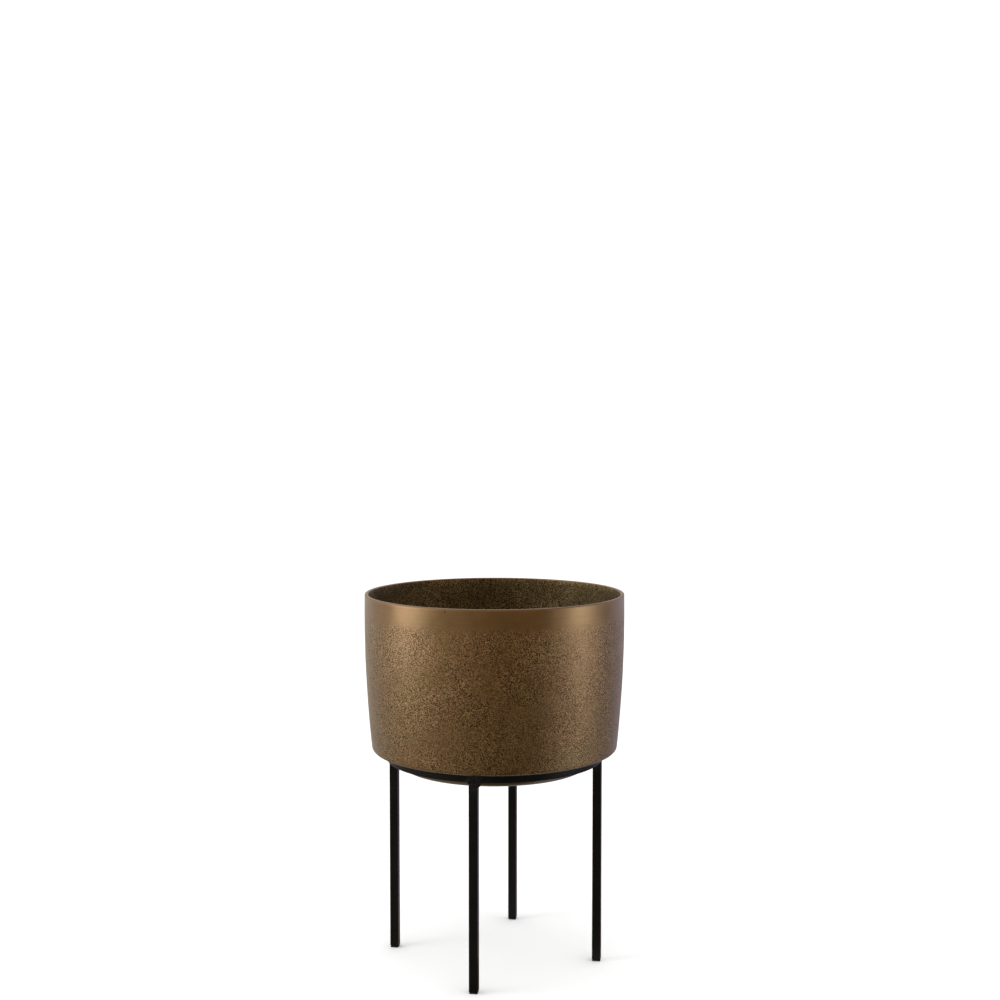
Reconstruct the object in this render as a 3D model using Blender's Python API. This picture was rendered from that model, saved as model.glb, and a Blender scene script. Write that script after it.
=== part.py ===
"""Antique-brass planter pot that stands in a square-bar steel ring stand.

The frame's origin is on the floor, under the middle of the pot, with +Z up and -Y to the front.
The pot is one turned shell: its rounded shoulder rests on the stand's ring and its smaller base
hangs through the ring. Four legs are butted under the ring, each with two fillet welds and one pad.
"""

import math

import bmesh
import bpy
from mathutils import Matrix, Vector

# Stand. All lengths in metres.
BAR = 0.0085  # square bar of the legs, and the ring's radial width
RING_OUTER_RADIUS = 0.1089
RING_BOTTOM = 0.2036
RING_HEIGHT = 0.0094
BAR_EDGE = 0.0007  # rounding of the bars' long edges
WELD_LIGHT = (0.0030, 0.0026)  # how far a fillet weld runs down the leg and along the ring
WELD_HEAVY = (0.0060, 0.0046)  # the same for a weld laid with a fuller bead
WELD_LENGTH = 0.0070  # across the bar
WELD_HOLLOW = 0.16  # how far a weld's face dips in, as a share of its height
HEAVY_WELDS = ("weld_front_right",)
PAD_SIDE = 0.0079
PAD_HEIGHT = 0.0012
GAP = 0.0003  # between neighbouring pieces

# Pot
RIM_TOP = 0.3707
WIDEST_RADIUS = 0.1304
WIDEST_DROP = 0.0217  # from the rim down to the widest ring of the wall
WALL_ARC_RADIUS = 1.28  # the wall's outline is one long arc
WALL = 0.0022
LIP = 0.0037  # the wall's thickness at the rim
LIP_TAPER = 0.0300  # height over which the lip thins to the wall
LIP_EDGE = 0.0009
SHOULDER_ROUND = 0.0042
BASE_RADIUS = 0.0980
BASE_DEPTH = 0.0172  # how far the base hangs below the shoulder
BASE_ROUND = 0.0075
BASE_THROAT = 0.0012  # inside round where the base meets the shoulder

# Smoothness of the round pieces
SEGMENTS = 64
WALL_STEPS = 6
TAPER_STEPS = 3
ROUND_STEPS = 3

# Worked out from the above
RING_INNER_RADIUS = RING_OUTER_RADIUS - BAR
RING_TOP = RING_BOTTOM + RING_HEIGHT
LEG_RADIUS = RING_OUTER_RADIUS - BAR / 2
LEG_TOP = RING_BOTTOM - GAP
LEG_BOTTOM = PAD_HEIGHT + GAP
SEAT = RING_TOP + GAP  # the shoulder's underside, and the pot's own origin

BRASS = ((0.19, 0.11, 0.055, 1.0), 0.38, 1.0)
POWDER_COAT = ((0.012, 0.012, 0.012, 1.0), 0.45, 0.0)
BLACK_RUBBER = ((0.015, 0.015, 0.015, 1.0), 0.8, 0.0)

# Each leg: its name, its bearing, and the names of its two sides, anticlockwise side first.
LEGS = (
    ("front", math.radians(-90), ("right", "left")),
    ("right", math.radians(0), ("rear", "front")),
    ("rear", math.radians(90), ("left", "right")),
    ("left", math.radians(180), ("front", "rear")),
)


def clear_scene():
    """Remove whatever the file holds."""
    for item in list(bpy.data.objects):
        bpy.data.objects.remove(item, do_unlink=True)


def place(name, bm, finish, matrix=Matrix()):
    """Make an object of a bmesh, give it its finish and put it at its place."""
    bmesh.ops.recalc_face_normals(bm, faces=bm.faces)
    mesh = bpy.data.meshes.new(name)
    bm.to_mesh(mesh)
    bm.free()
    piece = bpy.data.objects.new(name, mesh)
    bpy.context.collection.objects.link(piece)
    piece.matrix_world = matrix
    colour, roughness, metallic = finish
    material = bpy.data.materials.new(name + "_finish")
    material.use_nodes = True
    shader = material.node_tree.nodes["Principled BSDF"]
    shader.inputs["Base Color"].default_value = colour
    shader.inputs["Roughness"].default_value = roughness
    shader.inputs["Metallic"].default_value = metallic
    mesh.materials.append(material)
    mesh.shade_smooth()
    mesh.set_sharp_from_angle(angle=math.radians(35))
    return piece


def turned(profile, closed):
    """Turn a profile of (radius, height) points about the Z axis; an open one gets flat ends."""
    bm = bmesh.new()
    points = [bm.verts.new((radius, 0.0, height)) for radius, height in profile]
    edges = [bm.edges.new(pair) for pair in zip(points, points[1:])]
    if closed:
        edges.append(bm.edges.new((points[-1], points[0])))
    bmesh.ops.spin(
        bm,
        geom=points + edges,
        cent=(0, 0, 0),
        axis=(0, 0, 1),
        angle=math.tau,
        steps=SEGMENTS,
        use_merge=True,
    )
    ends = [edge for edge in bm.edges if edge.is_boundary]
    bmesh.ops.holes_fill(bm, edges=ends, sides=0)
    return bm


def arc(centre, radius, start, end):
    """Points of a circle's arc, from the start angle to the end angle, in degrees."""
    angles = [start + (end - start) * i / ROUND_STEPS for i in range(ROUND_STEPS + 1)]
    return [
        (
            centre[0] + radius * math.cos(math.radians(angle)),
            centre[1] + radius * math.sin(math.radians(angle)),
        )
        for angle in angles
    ]


def wall_radius(height):
    """Outside radius of the pot's wall at a height above the floor."""
    from_widest = height - (RIM_TOP - WIDEST_DROP)
    dip = WALL_ARC_RADIUS - math.sqrt(WALL_ARC_RADIUS**2 - from_widest**2)
    return WIDEST_RADIUS - dip


def wall_thickness(height):
    """Thickness at a height: the lip's at the rim, easing to the wall's below it."""
    share = min(1.0, (RIM_TOP - height) / LIP_TAPER)
    ease = share * share * (3 - 2 * share)
    return LIP + (WALL - LIP) * ease


def heights(top, bottom, steps):
    """Evenly spaced heights from top to bottom."""
    return [top + (bottom - top) * i / steps for i in range(steps + 1)]


def outer_profile():
    """The pot's outside, from the rim down to the edge of the flat base."""
    corner_z = SEAT + SHOULDER_ROUND
    corner_r = wall_radius(corner_z) - SHOULDER_ROUND
    throat = (BASE_RADIUS + BASE_THROAT, SEAT - BASE_THROAT)
    base = (BASE_RADIUS - BASE_ROUND, SEAT - BASE_DEPTH + BASE_ROUND)
    points = [(wall_radius(RIM_TOP) - LIP_EDGE, RIM_TOP)]
    points += [(wall_radius(z), z) for z in heights(RIM_TOP - LIP_EDGE, corner_z, WALL_STEPS)]
    points += arc((corner_r, corner_z), SHOULDER_ROUND, 0, -90)[1:]
    points += arc(throat, BASE_THROAT, 90, 180)
    points += arc(base, BASE_ROUND, 0, -90)
    return points


def inner_profile():
    """The pot's inside, from the edge of its floor up to the rim."""
    corner = SHOULDER_ROUND - WALL
    corner_z = SEAT + SHOULDER_ROUND
    corner_r = wall_radius(corner_z) - SHOULDER_ROUND
    throat = (BASE_RADIUS + BASE_THROAT, SEAT - BASE_THROAT)
    base = (BASE_RADIUS - BASE_ROUND, SEAT - BASE_DEPTH + BASE_ROUND)
    taper_end = RIM_TOP - LIP_TAPER
    points = arc(base, BASE_ROUND - WALL, -90, 0)
    points += arc(throat, BASE_THROAT + WALL, 180, 90)
    points += arc((corner_r, corner_z), corner, -90, 0)
    climb = heights(corner_z, taper_end, WALL_STEPS - 2)[1:]
    climb += heights(taper_end, RIM_TOP - LIP_EDGE, TAPER_STEPS)[1:]
    points += [(wall_radius(z) - wall_thickness(z), z) for z in climb]
    points.append((wall_radius(RIM_TOP) - LIP + LIP_EDGE, RIM_TOP))
    return points


def make_pot():
    """The turned shell, with its origin on the joint axis at the seat."""
    profile = [(radius, height - SEAT) for radius, height in inner_profile() + outer_profile()]
    place("pot", turned(profile, closed=False), BRASS, Matrix.Translation((0, 0, SEAT)))


def make_ring():
    """The bar rolled into the ring that the shoulder rests on."""
    inner, outer = RING_INNER_RADIUS, RING_OUTER_RADIUS
    profile = (
        (inner + BAR_EDGE, RING_BOTTOM),
        (outer - BAR_EDGE, RING_BOTTOM),
        (outer, RING_BOTTOM + BAR_EDGE),
        (outer, RING_TOP - BAR_EDGE),
        (outer - BAR_EDGE, RING_TOP),
        (inner + BAR_EDGE, RING_TOP),
        (inner, RING_TOP - BAR_EDGE),
        (inner, RING_BOTTOM + BAR_EDGE),
    )
    place("stand_ring", turned(profile, closed=True), POWDER_COAT)


def block(size, centre, edge):
    """A box with its long upright edges rounded."""
    bm = bmesh.new()
    bmesh.ops.create_cube(bm, size=1.0)
    bmesh.ops.scale(bm, vec=size, verts=bm.verts)
    bmesh.ops.translate(bm, vec=centre, verts=bm.verts)
    upright = [e for e in bm.edges if abs(e.verts[0].co.z - e.verts[1].co.z) > size[2] / 2]
    bmesh.ops.bevel(
        bm, geom=upright, offset=edge, segments=2, profile=0.5, affect="EDGES"
    )
    return bm


def make_weld(name, side, matrix):
    """A fillet weld in the corner of a leg's side and the ring's underside; side is +1 or -1."""
    bm = bmesh.new()
    down, along = WELD_HEAVY if name in HEAVY_WELDS else WELD_LIGHT
    near = side * (BAR / 2 + GAP)
    far = near + side * along
    middle = (near + far) / 2
    dip = WELD_HOLLOW * down
    outline = (
        (near, LEG_TOP),
        (far, LEG_TOP),
        (middle - side * dip / 2, LEG_TOP - down / 2 + dip / 2),
        (near, LEG_TOP - down),
    )
    start = LEG_RADIUS - WELD_LENGTH / 2
    end_face = bm.faces.new([bm.verts.new((start, along, z)) for along, z in outline])
    grown = bmesh.ops.extrude_face_region(bm, geom=[end_face])
    moved = [item for item in grown["geom"] if isinstance(item, bmesh.types.BMVert)]
    bmesh.ops.translate(bm, vec=(WELD_LENGTH, 0, 0), verts=moved)
    place(name, bm, POWDER_COAT, matrix)


def make_leg(name, bearing, sides):
    """One leg with its pad and its two welds, built along +X and turned to its bearing."""
    turn = Matrix.Rotation(bearing, 4, Vector((0, 0, 1)))
    length = LEG_TOP - LEG_BOTTOM
    leg = block((BAR, BAR, length), (LEG_RADIUS, 0, LEG_BOTTOM + length / 2), BAR_EDGE)
    place("leg_" + name, leg, POWDER_COAT, turn)
    pad = block((PAD_SIDE, PAD_SIDE, PAD_HEIGHT), (LEG_RADIUS, 0, PAD_HEIGHT / 2), BAR_EDGE)
    place("foot_pad_" + name, pad, BLACK_RUBBER, turn)
    for side, side_name in zip((1, -1), sides):
        make_weld("weld_" + name + "_" + side_name, side, turn)


def main():
    clear_scene()
    make_pot()
    make_ring()
    for name, bearing, sides in LEGS:
        make_leg(name, bearing, sides)


main()
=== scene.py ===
"""Looks of the brass planter pot: pitted antique shell, coated stand, pale floor and soft light."""

import math

import bmesh
import bpy
from mathutils import Matrix, Vector, noise


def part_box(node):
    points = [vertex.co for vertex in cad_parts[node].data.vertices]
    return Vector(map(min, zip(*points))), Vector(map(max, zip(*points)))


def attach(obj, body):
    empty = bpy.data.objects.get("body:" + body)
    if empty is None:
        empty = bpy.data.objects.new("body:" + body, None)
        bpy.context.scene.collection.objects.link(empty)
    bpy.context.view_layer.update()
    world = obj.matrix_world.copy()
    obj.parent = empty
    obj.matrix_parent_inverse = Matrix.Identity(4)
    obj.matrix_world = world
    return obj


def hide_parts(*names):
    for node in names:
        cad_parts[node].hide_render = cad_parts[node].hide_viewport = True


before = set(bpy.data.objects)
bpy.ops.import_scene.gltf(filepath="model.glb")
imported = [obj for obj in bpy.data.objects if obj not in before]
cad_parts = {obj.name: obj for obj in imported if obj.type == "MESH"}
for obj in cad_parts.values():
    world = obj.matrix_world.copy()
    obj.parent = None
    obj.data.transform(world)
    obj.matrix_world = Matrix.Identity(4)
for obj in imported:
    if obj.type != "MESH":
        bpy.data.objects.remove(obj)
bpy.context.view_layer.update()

# Sizes read from the frame, in metres
POT_LOW, POT_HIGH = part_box("pot")
RING_LOW, RING_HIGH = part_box("stand_ring")
LEG_LOW, LEG_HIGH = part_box("leg_right")
RIM_TOP = POT_HIGH.z
BASE_BOTTOM = POT_LOW.z
RING_OUTER = RING_HIGH.x
RING_TOP = RING_HIGH.z
RING_BOTTOM = RING_LOW.z
BAR = LEG_HIGH.x - LEG_LOW.x
GAP = 0.0003  # between neighbouring pieces
SEAT = RING_TOP + GAP

# Shape of the pot between those sizes: as in the CAD part, with a slightly rounder lip
WIDEST_RADIUS = 0.1304
WIDEST_DROP = 0.0217
WALL_ARC_RADIUS = 1.28
WALL = 0.0022
LIP = 0.0037
LIP_TAPER = 0.0300
LIP_EDGE = 0.0010
SHOULDER_ROUND = 0.0042
BASE_RADIUS = 0.0980
BASE_ROUND = 0.0075
BASE_THROAT = 0.0012
SMOOTH_BAND = 0.0140  # unpitted height under the rim, outside
BAND_FADE = 0.0130  # height over which the pitting comes in
LIP_LINE_TOP = 0.0004  # drop below the rim where the greyed line of the lip is full
LIP_LINE_END = 0.0016  # and where it has faded out
PINHOLE_TURN = math.radians(20.4)  # a pinhole in the smooth band, left of the camera's side
PINHOLE_DROP = 0.0030
PINHOLE_RADIUS = 0.0009
WALL_WAVE = 0.00010  # how far the hand-finished wall wanders, broadly
WALL_RIPPLE = 0.00006  # and closely
WALL_WAVE_START = 0.004  # drop below the rim where the wandering begins
WALL_WAVE_FADE = 0.03  # height over which it comes in

# Brass colours
OLIVE_BRASS = (0.267, 0.186, 0.103, 1.0)
RED_BRASS = (0.277, 0.183, 0.106, 1.0)
GREYED_LIP = (0.205, 0.144, 0.086, 1.0)
GREYED_BASE = (0.196, 0.168, 0.130, 1.0)
INSIDE_PALE = (0.180, 0.138, 0.070, 1.0)
INSIDE_DARK = (0.122, 0.092, 0.045, 1.0)
PINHOLE_BLACK = (0.004, 0.003, 0.002, 1.0)
PIT_TONE = (0.15, 0.125, 0.075, 1.0)  # factor for a colour in a pit's middle
GRAIN_TONE = (2.24, 2.36, 2.58, 1.0)  # and on a raised grain
UNCHANGED = (1.0, 1.0, 1.0, 1.0)

# Black colours
COAT_BLACK = (0.0014, 0.0015, 0.0015, 1.0)
COAT_DUSTY = (0.0030, 0.0028, 0.0027, 1.0)
GRIT_BLACK = (0.0010, 0.0010, 0.0010, 1.0)
GRIT_PALE = (0.0095, 0.0090, 0.0085, 1.0)
RUBBER_BLACK = (0.006, 0.006, 0.006, 1.0)
RUBBER_PALE = (0.013, 0.013, 0.0125, 1.0)

# The pitting, in cycles per metre and in shares of its sum
PIT_CELLS = 900.0
PIT_CLOSE = 1080.0
PIT_DUST = 3000.0
PIT_SHIFT_SCALE = 520.0
PIT_SHIFT = 0.0008  # how far the cells are moved out of their grid, in metres
PIT_SHARES = (0.34, 0.44, 0.22)  # of the round pits, the close noise and the dust
RELIEF = 0.0003  # height of the fine relief on the metal and its coat

# Fineness of the meshes
COLUMNS = 560
WALL_ROWS = 104
INNER_ROWS = 30
FLOOR_ROWS = 8
ROUND_ROWS = 5
LIP_ROWS = 4
EDGE_ROWS = 3  # along a bar's rounded edge
FACE_ROWS = 6  # across a bar's flat face

# The stand
BAR_EDGE = 0.0006
PAD_EDGE = 0.0004
RING_COLUMNS = 360
COAT_WAVE = 0.00003  # how far the coat wanders
COAT_LUMP = 0.00013  # height of the lumps of spatter
SPATTER_REACH = 0.0130  # how far the rough skin round a weld reaches
SPATTER_FULL = 0.004  # drop below the ring where the grit is full
BEAD_STATIONS = 30
BEAD_FACE_POINTS = 9
BEAD_RIPPLE = 0.0013  # spacing of the ripples along a bead
BEAD_SINK = 0.0004  # how far a bead reaches into its corner
BEAD_END = 0.25  # size of a bead's two ends, as a share of its middle
BEAD_FULLNESS = 0.94
BEAD_WANDER = 0.10
BEAD_CROWN = 0.12

# The camera, placed from the pot's axis
CAMERA_AZIMUTH = math.radians(10.6)
CAMERA_DISTANCE = 1.4785
CAMERA_HEIGHT = 0.5552
CAMERA_SIDE = 0.00555
CAMERA_PITCH = math.radians(3.538)
CAMERA_LENS = 53.19
SENSOR = 36.0


# ---------------------------------------------------------------- node helpers


def new_material(name):
    """A material with an empty Principled shader; returns it with its tree and shader."""
    material = bpy.data.materials.new(name)
    material.use_nodes = True
    tree = material.node_tree
    return material, tree, tree.nodes["Principled BSDF"]


def plug(tree, value, socket):
    """Put a number, a colour or another node's output into a socket."""
    if isinstance(value, bpy.types.NodeSocket):
        tree.links.new(value, socket)
    else:
        socket.default_value = value


def add(tree, kind, values=None, **settings):
    """A node of that kind, with settings as attributes and values by socket name or number."""
    made = tree.nodes.new(kind)
    for key, value in settings.items():
        setattr(made, key, value)
    for key, value in (values or {}).items():
        plug(tree, value, made.inputs[key])
    return made


def maths(tree, operation, first, second=0.0, clamp=False):
    """The result of a Math node."""
    made = add(tree, "ShaderNodeMath", {0: first, 1: second}, operation=operation, use_clamp=clamp)
    return made.outputs[0]


def vectors(tree, operation, first, second):
    """The vector that a Vector Math node makes of two vectors."""
    made = add(tree, "ShaderNodeVectorMath", {0: first, 1: second}, operation=operation)
    return made.outputs["Vector"]


def dot(tree, first, second):
    """The dot product of two vectors."""
    made = add(tree, "ShaderNodeVectorMath", {0: first, 1: second}, operation="DOT_PRODUCT")
    return made.outputs["Value"]


def remap(tree, value, low, high, to_low=0.0, to_high=1.0, smooth=True):
    """A value taken from one range to another, held at the ends."""
    made = add(tree, "ShaderNodeMapRange", clamp=True)
    made.interpolation_type = "SMOOTHSTEP" if smooth else "LINEAR"
    for key, number in enumerate((value, low, high, to_low, to_high)):
        plug(tree, number, made.inputs[key])
    return made.outputs[0]


def blend(tree, share, first, second):
    """Two colours mixed by a share."""
    made = add(tree, "ShaderNodeMix", data_type="RGBA")
    plug(tree, share, made.inputs["Factor"])
    plug(tree, first, made.inputs[6])
    plug(tree, second, made.inputs[7])
    return made.outputs[2]


def tinted(tree, colour, factor):
    """A colour made lighter or darker by a factor."""
    made = add(tree, "ShaderNodeVectorMath", {0: colour, "Scale": factor}, operation="SCALE")
    return made.outputs["Vector"]


def grain(tree, place, scale, detail=2.0, roughness=0.5):
    """Noise between 0 and 1 at a scale in cycles per metre."""
    values = {"Vector": place, "Scale": scale, "Detail": detail, "Roughness": roughness}
    return add(tree, "ShaderNodeTexNoise", values).outputs["Fac"]


def stretched(tree, place, x, y, z):
    """A place scaled by its own factor along each axis."""
    return vectors(tree, "MULTIPLY", place, (x, y, z))


# ---------------------------------------------------------------- materials


def pitting(tree, place):
    """Fine speckle of a chemically aged brass: 0 in a pit's middle, 1 on a raised grain."""
    for_cells, for_close, for_dust = PIT_SHARES
    shift = add(tree, "ShaderNodeTexNoise", {"Vector": place, "Scale": PIT_SHIFT_SCALE, "Detail": 1.0})
    moved = vectors(tree, "ADD", place, tinted(tree, shift.outputs["Color"], PIT_SHIFT))
    cells = add(tree, "ShaderNodeTexVoronoi", {"Vector": moved, "Scale": PIT_CELLS}, feature="F1")
    round_pits = maths(tree, "MULTIPLY", remap(tree, cells.outputs["Distance"], 0.10, 0.72), for_cells)
    close_noise = grain(tree, place, PIT_CLOSE, 2.0, 0.6)
    close = remap(tree, close_noise, 0.30, 0.70, 0.0, for_close, smooth=False)
    dust_noise = grain(tree, place, PIT_DUST, 2.0, 0.6)
    dust = remap(tree, dust_noise, 0.30, 0.70, 0.0, for_dust, smooth=False)
    every = maths(tree, "ADD", maths(tree, "ADD", round_pits, close), dust)
    return remap(tree, every, 0.40, 0.86, smooth=False)


def speckled(tree, speckle, strength):
    """Factor for a colour: pits darker and deeper in hue, grains lighter and greyer, by a strength."""
    factor = blend(tree, speckle, PIT_TONE, GRAIN_TONE)
    return blend(tree, strength, UNCHANGED, factor)


def height_of(tree, place):
    """The height of a place."""
    return add(tree, "ShaderNodeSeparateXYZ", {"Vector": place}).outputs["Z"]


def length_of(tree, vector):
    """The length of a vector."""
    return add(tree, "ShaderNodeVectorMath", {0: vector}, operation="LENGTH").outputs["Value"]


def relieved(tree, shader, height, strength, depth=RELIEF):
    """Bump on a shader from a height of 0 to about 1, with its depth in metres."""
    bump = add(tree, "ShaderNodeBump", {"Height": height, "Strength": strength, "Distance": depth})
    plug(tree, bump.outputs["Normal"], shader.inputs["Normal"])


def pinhole(tree, place):
    """Where the pinhole is: 1 in it, 0 away from it."""
    bearing = CAMERA_AZIMUTH - PINHOLE_TURN
    height = RIM_TOP - PINHOLE_DROP
    radius = wall_radius(height)
    spot = Vector((math.sin(bearing) * radius, -math.cos(bearing) * radius, height))
    away = add(tree, "ShaderNodeVectorMath", {0: place, 1: spot}, operation="DISTANCE").outputs["Value"]
    return remap(tree, away, PINHOLE_RADIUS, PINHOLE_RADIUS * 0.5)


def pitted_share(tree, place, height, base):
    """How pitted the outside is: 0 in the smooth band, patchy below it, little on the base."""
    ragged = maths(tree, "MULTIPLY", maths(tree, "SUBTRACT", grain(tree, place, 55.0, 3.0), 0.5), 0.010)
    start = RIM_TOP - SMOOTH_BAND
    pitted = remap(tree, maths(tree, "ADD", height, ragged), start, start - BAND_FADE)
    pitted = maths(tree, "MULTIPLY", pitted, remap(tree, base, 0.0, 1.0, 1.0, 0.25))
    patches = remap(tree, grain(tree, place, 30.0, 3.0), 0.34, 0.60, 0.62, 1.0)
    return maths(tree, "MULTIPLY", pitted, patches)


def patina(tree, place):
    """The even colour under the pitting: olive and red clouds, with faint streaks round the wall."""
    tint = grain(tree, place, 26.0, 4.0, 0.6)
    body = blend(tree, remap(tree, tint, 0.38, 0.62), OLIVE_BRASS, RED_BRASS)
    streak_place = stretched(tree, place, 18.0, 18.0, 620.0)
    streaks = remap(tree, grain(tree, streak_place, 1.0, 3.0), 0.3, 0.7, 0.95, 1.05, smooth=False)
    clouds = remap(tree, grain(tree, place, 70.0, 3.0, 0.6), 0.3, 0.7, 0.93, 1.07, smooth=False)
    return tinted(tree, body, maths(tree, "MULTIPLY", streaks, clouds))


def brass_material():
    """Antique brass: brown satin patina, finely pitted below the smooth band at the lip."""
    material, tree, shader = new_material("antique_brass_pitted")
    place = add(tree, "ShaderNodeTexCoord").outputs["Object"]
    height = height_of(tree, place)
    base = remap(tree, height, SEAT + 0.0005, SEAT - BASE_THROAT)
    lip = remap(tree, height, RIM_TOP - LIP_LINE_END, RIM_TOP - LIP_LINE_TOP)
    strength = pitted_share(tree, place, height, base)
    speckle = pitting(tree, place)
    hole = pinhole(tree, place)

    coloured = vectors(tree, "MULTIPLY", patina(tree, place), speckled(tree, speckle, strength))
    coloured = blend(tree, lip, coloured, GREYED_LIP)
    coloured = blend(tree, maths(tree, "MULTIPLY", base, 0.95), coloured, GREYED_BASE)
    plug(tree, blend(tree, hole, coloured, PINHOLE_BLACK), shader.inputs["Base Color"])

    cloudy = remap(tree, grain(tree, place, 35.0, 2.0), 0.3, 0.7, 0.33, 0.39, smooth=False)
    frosted = maths(tree, "MULTIPLY", strength, remap(tree, speckle, 0.1, 0.9, 0.00, 0.17))
    duller = maths(tree, "MAXIMUM", frosted, maths(tree, "MULTIPLY", lip, 0.16))
    plug(tree, maths(tree, "ADD", cloudy, duller), shader.inputs["Roughness"])
    plug(tree, 1.0, shader.inputs["Metallic"])
    raised = maths(tree, "MULTIPLY", speckle, strength)
    relieved(tree, shader, maths(tree, "SUBTRACT", raised, maths(tree, "MULTIPLY", hole, 2.0)), 0.22)
    return material


def inside_material():
    """The unpolished inner face: dark brown oxide, speckled to the lip, turning marks on the floor."""
    material, tree, shader = new_material("antique_brass_inside")
    place = add(tree, "ShaderNodeTexCoord").outputs["Object"]
    speckle = remap(tree, pitting(tree, place), 0.14, 0.70)
    radius = length_of(tree, stretched(tree, place, 1.0, 1.0, 0.0))
    floor_top = SEAT + WALL
    on_floor = remap(tree, height_of(tree, place), floor_top + 0.0005, floor_top - 0.0005)
    turned = maths(tree, "SINE", maths(tree, "MULTIPLY", radius, 3600.0))
    marks = maths(tree, "MULTIPLY", turned, maths(tree, "MULTIPLY", on_floor, 0.06))
    stain = remap(tree, grain(tree, place, 24.0, 4.0, 0.6), 0.35, 0.65)
    body = blend(tree, stain, INSIDE_PALE, INSIDE_DARK)
    coloured = vectors(tree, "MULTIPLY", body, speckled(tree, speckle, 1.0))
    plug(tree, tinted(tree, coloured, maths(tree, "ADD", 1.0, marks)), shader.inputs["Base Color"])
    plug(tree, remap(tree, speckle, 0.2, 0.8, 0.46, 0.60), shader.inputs["Roughness"])
    plug(tree, 1.0, shader.inputs["Metallic"])
    relieved(tree, shader, maths(tree, "ADD", speckle, maths(tree, "MULTIPLY", marks, 3.0)), 0.35)
    return material


def coat_material():
    """Satin black powder coat with a fine orange peel, coarser and gritty round the welds."""
    material, tree, shader = new_material("black_powder_coat")
    place = add(tree, "ShaderNodeTexCoord").outputs["Object"]
    axes = add(tree, "ShaderNodeSeparateXYZ", {"Vector": place})
    aside_x = maths(tree, "ABSOLUTE", axes.outputs["X"])
    aside_y = maths(tree, "ABSOLUTE", axes.outputs["Y"])
    across = maths(tree, "MINIMUM", aside_x, aside_y)
    high = remap(tree, axes.outputs["Z"], RING_BOTTOM - SPATTER_REACH, RING_BOTTOM - SPATTER_FULL)
    grit = maths(tree, "MULTIPLY", high, remap(tree, across, BAR * 1.4, BAR * 0.7))
    peel = grain(tree, place, 900.0, 2.0)
    coarse = remap(tree, grain(tree, place, 520.0, 2.0, 0.7), 0.35, 0.65)
    dust = remap(tree, grain(tree, place, 45.0, 4.0), 0.35, 0.75)
    plain = blend(tree, dust, COAT_BLACK, COAT_DUSTY)
    gritty = blend(tree, coarse, GRIT_BLACK, GRIT_PALE)
    plug(tree, blend(tree, grit, plain, gritty), shader.inputs["Base Color"])
    satin = remap(tree, peel, 0.3, 0.7, 0.36, 0.48)
    rough = maths(tree, "ADD", satin, maths(tree, "MULTIPLY", grit, 0.08))
    plug(tree, rough, shader.inputs["Roughness"])
    plug(tree, 0.17, shader.inputs["Specular IOR Level"])
    orange_peel = maths(tree, "MULTIPLY", peel, 0.25)
    relieved(tree, shader, maths(tree, "ADD", orange_peel, maths(tree, "MULTIPLY", grit, coarse)), 0.5)
    return material


def rubber_material():
    """Matte black rubber, slightly grainy."""
    material, tree, shader = new_material("black_foot_rubber")
    place = add(tree, "ShaderNodeTexCoord").outputs["Object"]
    speckle = grain(tree, place, 1500.0, 2.0)
    plug(tree, blend(tree, speckle, RUBBER_BLACK, RUBBER_PALE), shader.inputs["Base Color"])
    plug(tree, remap(tree, speckle, 0.2, 0.8, 0.7, 0.9), shader.inputs["Roughness"])
    plug(tree, 0.3, shader.inputs["Specular IOR Level"])
    relieved(tree, shader, speckle, 0.3, RELIEF / 3)
    return material


# ---------------------------------------------------------------- mesh helpers


def new_piece(name, bm, materials, body, node):
    """An object of a bmesh that rides on a body and stands for a CAD node."""
    mesh = bpy.data.meshes.new(name)
    bm.to_mesh(mesh)
    bm.free()
    for material in materials:
        mesh.materials.append(material)
    mesh.shade_smooth()
    piece = bpy.data.objects.new(name, mesh)
    bpy.context.scene.collection.objects.link(piece)
    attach(piece, body)
    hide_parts(node)


def skin(bm, sections, loop=False):
    """Faces between neighbouring closed sections of points, given back as one strip for each gap.

    A section of one point is a pole. Any other section at an end gets a flat cap, unless they loop.
    """
    rings = [[bm.verts.new(point) for point in section] for section in sections]
    pairs = list(zip(rings, rings[1:]))
    if loop:
        pairs.append((rings[-1], rings[0]))
    else:
        for end in (rings[0], rings[-1]):
            if len(end) > 1:
                bm.faces.new(end)
    strips = []
    for lower, upper in pairs:
        count = max(len(lower), len(upper))
        strip = []
        for index in range(count):
            after = (index + 1) % count
            corners = [lower[index % len(lower)], lower[after % len(lower)]]
            corners += [upper[after % len(upper)], upper[index % len(upper)]]
            strip.append(bm.faces.new(list(dict.fromkeys(corners))))
        strips.append(strip)
    bmesh.ops.recalc_face_normals(bm, faces=bm.faces)
    return strips


def arc(centre, radius, start, end, steps=ROUND_ROWS):
    """Points on a circle's arc between two angles in degrees."""
    angles = [math.radians(start + (end - start) * i / steps) for i in range(steps + 1)]
    return [(centre[0] + radius * math.cos(a), centre[1] + radius * math.sin(a)) for a in angles]


def between(first, last, steps):
    """Evenly spaced values from first to last."""
    return [first + (last - first) * i / steps for i in range(steps + 1)]


def ease(value):
    """A share from 0 to 1 with soft ends."""
    share = min(1.0, max(0.0, value))
    return share * share * (3 - 2 * share)


# ---------------------------------------------------------------- the pot


def wall_radius(height):
    """Outside radius of the wall at a height."""
    from_widest = height - (RIM_TOP - WIDEST_DROP)
    return WIDEST_RADIUS - WALL_ARC_RADIUS + math.sqrt(WALL_ARC_RADIUS**2 - from_widest**2)


def wall_thickness(height):
    """Thickness at a height: the lip's at the rim, easing to the wall's below it."""
    return LIP + (WALL - LIP) * ease((RIM_TOP - height) / LIP_TAPER)


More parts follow.
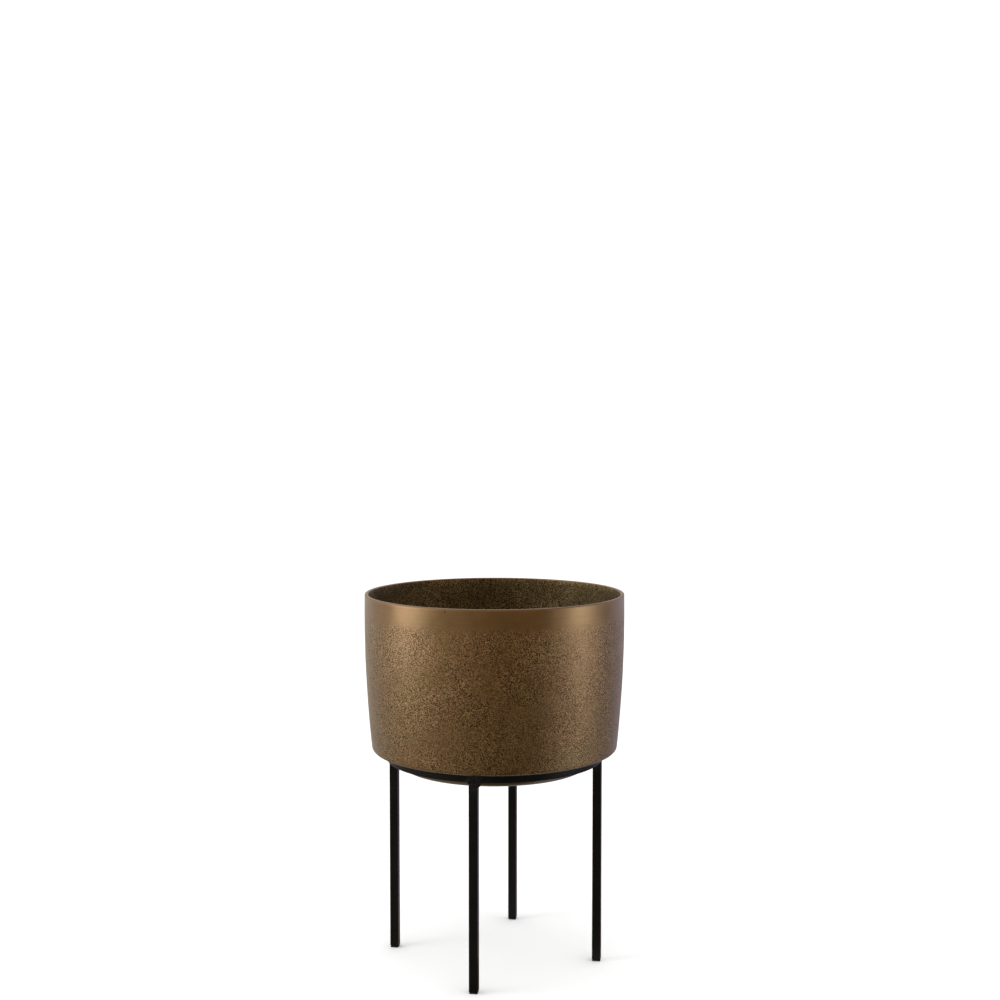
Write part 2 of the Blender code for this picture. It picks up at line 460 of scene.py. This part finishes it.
def shoulder():
    """Centre of the shoulder's round, as radius and height."""
    height = SEAT + SHOULDER_ROUND
    return wall_radius(height) - SHOULDER_ROUND, height


def inner_rows():
    """Rows from the middle of the floor up the inside to the lip."""
    corner = shoulder()
    throat = (BASE_RADIUS + BASE_THROAT, SEAT - BASE_THROAT)
    base = (BASE_RADIUS - BASE_ROUND, BASE_BOTTOM + BASE_ROUND)
    rows = [(r, BASE_BOTTOM + WALL) for r in between(0.0, base[0], FLOOR_ROWS)[:-1]]
    rows += arc(base, BASE_ROUND - WALL, -90, 0)
    rows += arc(throat, BASE_THROAT + WALL, 180, 90)
    rows += arc(corner, SHOULDER_ROUND - WALL, -90, 0)
    climb = between(corner[1], RIM_TOP - LIP_EDGE, INNER_ROWS)[1:-1]
    rows += [(wall_radius(z) - wall_thickness(z), z) for z in climb]
    return rows


def outer_rows():
    """Rows over the lip, down the outside and in to the middle of the base."""
    corner = shoulder()
    throat = (BASE_RADIUS + BASE_THROAT, SEAT - BASE_THROAT)
    base = (BASE_RADIUS - BASE_ROUND, BASE_BOTTOM + BASE_ROUND)
    lip_z = RIM_TOP - LIP_EDGE
    outer_r = wall_radius(RIM_TOP) - LIP_EDGE
    inner_r = wall_radius(RIM_TOP) - LIP + LIP_EDGE
    rows = arc((inner_r, lip_z), LIP_EDGE, 180, 90, LIP_ROWS)
    rows += arc((outer_r, lip_z), LIP_EDGE, 90, 0, LIP_ROWS)
    climb = between(lip_z, corner[1], WALL_ROWS)[1:-1]
    rows += [(wall_radius(z), z) for z in climb]
    rows += arc(corner, SHOULDER_ROUND, 0, -90)
    rows += arc(throat, BASE_THROAT, 90, 180)
    rows += arc(base, BASE_ROUND, 0, -90)
    rows += [(r, BASE_BOTTOM) for r in between(base[0], 0.0, FLOOR_ROWS)[1:]]
    return rows


def unevenness(point):
    """How far the hand-finished wall stands in or out at a point."""
    share = ease((RIM_TOP - WALL_WAVE_START - point.z) / WALL_WAVE_FADE)
    broad = noise.noise(point * 40.0)
    close = noise.noise(point * 140.0 + Vector((7.1, 3.3, 1.7)))
    return share * (WALL_WAVE * broad + WALL_RIPPLE * close)


def make_pot(outside, inside):
    """The turned shell, one closed mesh, with its own finish inside."""
    inner = inner_rows()
    rows = inner + outer_rows()
    corner_z = SEAT + SHOULDER_ROUND
    turns = [math.tau * column / COLUMNS for column in range(COLUMNS)]
    ways = [Vector((math.cos(turn), math.sin(turn), 0.0)) for turn in turns]
    sections = []
    for index, (radius, height) in enumerate(rows):
        if radius == 0.0:
            sections.append([Vector((0.0, 0.0, height))])
            continue
        section = []
        for way in ways:
            point = way * radius + Vector((0.0, 0.0, height))
            if index >= len(inner) and height > corner_z:
                point += way * unevenness(point)
            section.append(point)
        sections.append(section)
    bm = bmesh.new()
    strips = skin(bm, sections)
    for strip in strips[: len(inner)]:
        for face in strip:
            face.material_index = 1
    new_piece("pot_shell", bm, (outside, inside), "pot", "pot")


# ---------------------------------------------------------------- the stand


def spatter(point):
    """How rough the coated skin is at a point: 1 beside a weld, 0 away from it."""
    high = ease((point.z - RING_BOTTOM + SPATTER_REACH) / SPATTER_REACH)
    close = ease(2.0 - min(abs(point.x), abs(point.y)) / BAR * 1.4)
    return high * close


def coated(point):
    """How far the coat stands proud at a point, with lumps of spatter round the welds."""
    broad = noise.noise(point * 70.0)
    lumps = noise.noise(point * 480.0)
    return COAT_WAVE * broad + COAT_LUMP * max(0.0, lumps) * spatter(point)


def make_ring(material):
    """The bar rolled into a ring."""
    inner, outer = RING_OUTER - BAR, RING_OUTER
    low, high = RING_BOTTOM + BAR_EDGE, RING_TOP - BAR_EDGE
    profile = arc((inner + BAR_EDGE, low), BAR_EDGE, 180, 270, EDGE_ROWS)
    profile += arc((outer - BAR_EDGE, low), BAR_EDGE, 270, 360, EDGE_ROWS)
    profile += [(outer, z) for z in between(low, high, FACE_ROWS)[1:-1]]
    profile += arc((outer - BAR_EDGE, high), BAR_EDGE, 0, 90, EDGE_ROWS)
    profile += arc((inner + BAR_EDGE, high), BAR_EDGE, 90, 180, EDGE_ROWS)
    sections = []
    for column in range(RING_COLUMNS):
        angle = math.tau * column / RING_COLUMNS
        way = Vector((math.cos(angle), math.sin(angle), 0.0))
        section = []
        for radius, height in profile:
            point = way * radius + Vector((0.0, 0.0, height))
            if radius > RING_OUTER - BAR / 2:
                point += way * coated(point)
            section.append(point)
        sections.append(section)
    bm = bmesh.new()
    skin(bm, sections, loop=True)
    new_piece("ring_bar", bm, (material,), "stand", "stand_ring")


def square_section(half, edge):
    """Points round a square with rounded corners, each with the way it faces."""
    centre = half - edge
    points = []
    for start in (0, 90, 180, 270):
        turn = Matrix.Rotation(math.radians(start), 2)
        corner = turn @ Vector((centre, centre))
        for spot in arc(corner, edge, start, start + 90, EDGE_ROWS):
            points.append((Vector(spot), (Vector(spot) - corner).normalized()))
        side = turn @ Vector((0.0, 1.0))
        for step in between(centre, -centre, FACE_ROWS)[1:-1]:
            points.append((turn @ Vector((step, half)), side))
    return points


def upright_bar(low, high, edge, rows):
    """An upright square bar from its box's corners, its long edges and ends rounded."""
    middle = (low + high) / 2
    half = (high.x - low.x) / 2
    section = square_section(half, edge)
    ends = [(edge + y, 0.9 * (edge - x)) for x, y in arc((0.0, 0.0), edge, -90, 0, EDGE_ROWS)]
    levels = [(low.z + rise, pull) for rise, pull in ends]
    levels += [(z, 0.0) for z in rows if low.z + edge < z < high.z - edge]
    levels += [(high.z - rise, pull) for rise, pull in reversed(ends)]
    sections = []
    for height, pull in levels:
        ring = []
        for flat, facing in section:
            inward = flat - facing * pull
            point = Vector((middle.x + inward.x, middle.y + inward.y, height))
            lift = coated(point)
            ring.append(point + Vector((facing.x, facing.y, 0.0)) * lift)
        sections.append(ring)
    bm = bmesh.new()
    skin(bm, sections)
    return bm


def leg_levels(low, high):
    """Heights of a leg's rows: close together near the weld, wide apart below."""
    change = high - SPATTER_REACH
    return between(low, change, 30) + between(change, high, 20)[1:]


def make_bead(material, leg, side_name):
    """A rippled fillet weld in the corner of a leg's side and the ring's underside."""
    low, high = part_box("weld_" + leg + "_" + side_name)
    middle = (low + high) / 2
    leg_low, leg_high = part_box("leg_" + leg)
    leg_middle = (leg_low + leg_high) / 2
    out = Vector((leg_middle.x, leg_middle.y, 0.0)).normalized()
    aside = Vector((middle.x - leg_middle.x, middle.y - leg_middle.y, 0.0))
    aside -= out * aside.dot(out)
    aside.normalize()
    size = high - low
    along = abs(size.dot(aside))
    length = abs(size.dot(out))
    corner = out * out.dot(leg_middle) + aside * (BAR / 2) + Vector((0.0, 0.0, RING_BOTTOM))
    root = corner - aside * BEAD_SINK + Vector((0.0, 0.0, BEAD_SINK))
    sections = []
    for share in between(0.0, 1.0, BEAD_STATIONS):
        forward = out * ((share - 0.5) * length)
        swell = BEAD_END if share in (0.0, 1.0) else (1.0 - abs(2.0 * share - 1.0) ** 4) ** 0.5
        ripple = abs(math.sin(math.pi * (share - 0.5) * length / BEAD_RIPPLE))
        wander = BEAD_WANDER * noise.noise(corner * 300.0 + forward * 500.0)
        reach = swell * (BEAD_FULLNESS + wander)
        section = [root + forward]
        for angle in between(0.0, math.pi / 2, BEAD_FACE_POINTS):
            straight = 1.0 / (math.cos(angle) + math.sin(angle))
            crown = 1.0 + BEAD_CROWN * math.sin(2 * angle) * (0.6 + 0.4 * ripple)
            far = reach * straight * crown
            sideways = aside * along * far * math.cos(angle)
            drop = Vector((0.0, 0.0, -size.z * far * math.sin(angle)))
            section.append(corner + forward + sideways + drop)
        sections.append(section)
    bm = bmesh.new()
    skin(bm, sections)
    joint = leg + "_" + side_name
    new_piece("weld_bead_" + joint, bm, (material,), "stand", "weld_" + joint)


def make_legs(coat, rubber):
    """Legs, pads and weld beads."""
    for leg, sides in (
        ("front", ("right", "left")),
        ("right", ("rear", "front")),
        ("rear", ("left", "right")),
        ("left", ("front", "rear")),
    ):
        low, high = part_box("leg_" + leg)
        bm = upright_bar(low, high, BAR_EDGE, leg_levels(low.z, high.z))
        new_piece("bar_leg_" + leg, bm, (coat,), "stand", "leg_" + leg)
        low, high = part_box("foot_pad_" + leg)
        bm = upright_bar(low, high, PAD_EDGE, between(low.z, high.z, 4))
        new_piece("rubber_pad_" + leg, bm, (rubber,), "stand", "foot_pad_" + leg)
        for side_name in sides:
            make_bead(coat, leg, side_name)


# ---------------------------------------------------------------- stage

LEFT_LAMP = -76  # bearings of the two softboxes, in degrees to the camera's right
RIGHT_LAMP = 76.5

# What the shiny parts see: ahead, ahead on the left, behind on the left, behind on the right
ROOM_TONES = (
    (0.470, 0.300, 0.148, 1.0),
    (0.780, 0.610, 0.400, 1.0),
    (1.250, 1.200, 1.150, 1.0),
    (0.880, 0.860, 1.080, 1.0),
)
# Painted reflection: the tones the floor glows with for glossy rays only, in the same four directions
FLOOR_TONES = (
    (0.128, 0.092, 0.030, 1.0),
    (0.380, 0.305, 0.204, 1.0),
    (0.640, 0.620, 0.600, 1.0),
    (0.480, 0.470, 0.590, 1.0),
)
SIDE_GLOW = (0.640, 0.610, 0.560, 1.0)  # painted pool of light: the floor under the right softbox, as glossy rays see it
FLOOR_PALE = (0.90, 0.90, 0.895, 1.0)
FLOOR_SHADED = (0.86, 0.86, 0.86, 1.0)
FLOOR_SIZE = 60.0
WHITE_STRENGTH = 1.3
LAMP_DISTANCE = 1.25


def toward(bearing):
    """Level direction from the pot, turned that many degrees to the camera's right."""
    angle = CAMERA_AZIMUTH + math.radians(bearing)
    return Vector((math.sin(angle), -math.cos(angle), 0.0))


def surroundings(tree, direction, tones):
    """What a shiny part sees in a direction, from four tones.

    They are the tones ahead of the pot, ahead on its left, behind on its left and behind on its right.
    """
    ahead, ahead_left, behind_left, behind_right = tones
    level = vectors(tree, "MULTIPLY", direction, (1.0, 1.0, 0.0))
    way = add(tree, "ShaderNodeVectorMath", {0: level}, operation="NORMALIZE").outputs["Vector"]
    to_right = dot(tree, way, toward(90))
    front = blend(tree, remap(tree, to_right, 0.15, -0.85), ahead, ahead_left)
    rear = blend(tree, remap(tree, to_right, -0.3, 0.3), behind_left, behind_right)
    return blend(tree, remap(tree, dot(tree, way, toward(180)), -0.15, 0.95), front, rear)


def floor_material():
    """Pale matte floor to the camera; glossy rays instead see it glowing with painted reflection tones
    of the room.
    """
    material, tree, shader = new_material("pale_floor")
    place = add(tree, "ShaderNodeTexCoord").outputs["Object"]
    cloud = grain(tree, place, 3.0, 3.0)
    plug(tree, blend(tree, cloud, FLOOR_SHADED, FLOOR_PALE), shader.inputs["Base Color"])
    plug(tree, 0.9, shader.inputs["Roughness"])
    plug(tree, 0.0, shader.inputs["Specular IOR Level"])
    seen = surroundings(tree, place, FLOOR_TONES)
    way = add(tree, "ShaderNodeVectorMath", {0: place}, operation="NORMALIZE").outputs["Vector"]
    # Painted pool of light: in reflections the floor glows brighter toward the right softbox
    lit = remap(tree, dot(tree, way, toward(RIGHT_LAMP)), 0.90, 0.99)
    seen = blend(tree, lit, seen, SIDE_GLOW)
    # Painted light: glossy rays see the far floor glow up to 1.3 times brighter
    seen = tinted(tree, seen, remap(tree, length_of(tree, place), 1.6, 3.4, 1.0, 1.3))
    # Painted reflection: glossy rays see this glow in place of the matte floor
    glow = add(tree, "ShaderNodeEmission", {"Color": seen, "Strength": 1.0})
    glossy = add(tree, "ShaderNodeLightPath").outputs["Is Glossy Ray"]
    mixed = add(tree, "ShaderNodeMixShader", {0: glossy, 1: shader.outputs[0], 2: glow.outputs[0]})
    out = tree.nodes["Material Output"]
    tree.links.new(mixed.outputs[0], out.inputs["Surface"])
    return material


def make_floor():
    """A broad plain floor."""
    bpy.ops.mesh.primitive_plane_add(size=FLOOR_SIZE)
    floor = bpy.context.object
    floor.name = "floor"
    floor.data.materials.append(floor_material())


def softbox(name, bearing, low, high, width, brightness):
    """A rectangular lamp between two heights that faces the pot."""
    lamp = bpy.data.lights.new(name, "AREA")
    lamp.shape = "RECTANGLE"
    lamp.size = width
    lamp.size_y = high - low
    lamp.energy = brightness * math.pi * lamp.size * lamp.size_y
    holder = bpy.data.objects.new(name, lamp)
    bpy.context.scene.collection.objects.link(holder)
    holder.location = toward(bearing) * LAMP_DISTANCE + Vector((0, 0, (low + high) / 2))
    holder.rotation_euler = (-toward(bearing)).to_track_quat("-Z", "Y").to_euler()
    holder.visible_camera = False


def make_world():
    """White surroundings that the shiny parts see as a dim warm room with a pale backdrop."""
    world = bpy.data.worlds.new("studio")
    world.use_nodes = True
    tree = world.node_tree
    tree.nodes.clear()
    direction = add(tree, "ShaderNodeTexCoord").outputs["Generated"]
    glossy = add(tree, "ShaderNodeLightPath").outputs["Is Glossy Ray"]
    white = add(tree, "ShaderNodeBackground", {"Color": (1, 1, 1, 1), "Strength": WHITE_STRENGTH})
    seen = surroundings(tree, direction, ROOM_TONES)
    room = add(tree, "ShaderNodeBackground", {"Color": seen, "Strength": 1.0})
    mixed = add(tree, "ShaderNodeMixShader", {0: glossy, 1: white.outputs[0], 2: room.outputs[0]})
    out = add(tree, "ShaderNodeOutputWorld")
    tree.links.new(mixed.outputs[0], out.inputs["Surface"])
    bpy.context.scene.world = world


def make_camera():
    """The camera, in front of the pot and a little above its rim."""
    data = bpy.data.cameras.new("camera")
    data.lens = CAMERA_LENS
    data.sensor_width = SENSOR
    camera = bpy.data.objects.new("camera", data)
    bpy.context.scene.collection.objects.link(camera)
    level = toward(0) * CAMERA_DISTANCE + toward(90) * CAMERA_SIDE
    camera.location = level + Vector((0, 0, CAMERA_HEIGHT))
    camera.rotation_euler = (math.radians(90) - CAMERA_PITCH, 0.0, CAMERA_AZIMUTH)
    bpy.context.scene.camera = camera


def make_studio():
    """Floor, world, lamps and camera."""
    make_floor()
    make_world()
    softbox("softbox_left", LEFT_LAMP, low=0.12, high=1.40, width=0.64, brightness=2.3)
    softbox("softbox_right", RIGHT_LAMP, low=0.04, high=0.70, width=0.52, brightness=1.58)
    make_camera()
    bpy.context.scene.view_settings.view_transform = "Standard"


# ---------------------------------------------------------------- build


make_pot(brass_material(), inside_material())
coat = coat_material()
make_ring(coat)
make_legs(coat, rubber_material())
make_studio()
